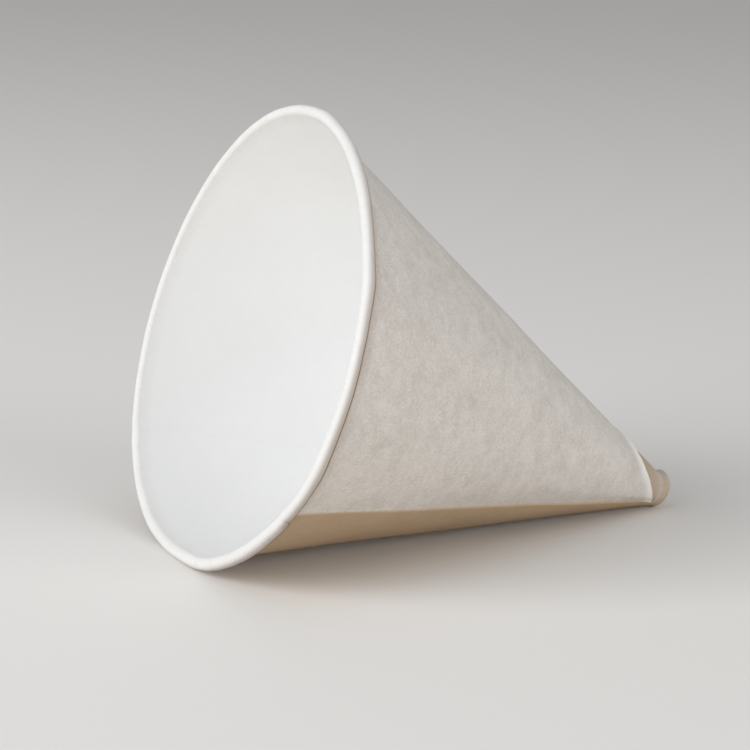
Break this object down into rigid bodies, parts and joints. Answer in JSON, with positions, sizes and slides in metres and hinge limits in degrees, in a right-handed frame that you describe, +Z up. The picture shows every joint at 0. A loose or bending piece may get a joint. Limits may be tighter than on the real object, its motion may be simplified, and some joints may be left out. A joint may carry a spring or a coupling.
{
  "type": "cone paper cup",
  "caption": "Pointed paper drinking cup wound from one sheet, with an overlapped side seam, a rolled rim and a closed point, lying on its side.",
  "frame": {"origin": "middle of the cup's bounding box at the surface that it lies on", "axes": "+Z up as it lies on its side, +X towards its point, so the open mouth faces -X and leans back, and the seam is on the -Y side"},
  "size_m": [0.0904, 0.0732, 0.0671],
  "materials": {
    "paper": "matt uncoated paper with fine fibre mottling"
  },
  "bodies": {
    "root": {"paper_cone": "paper"}
  },
  "joints": []
}
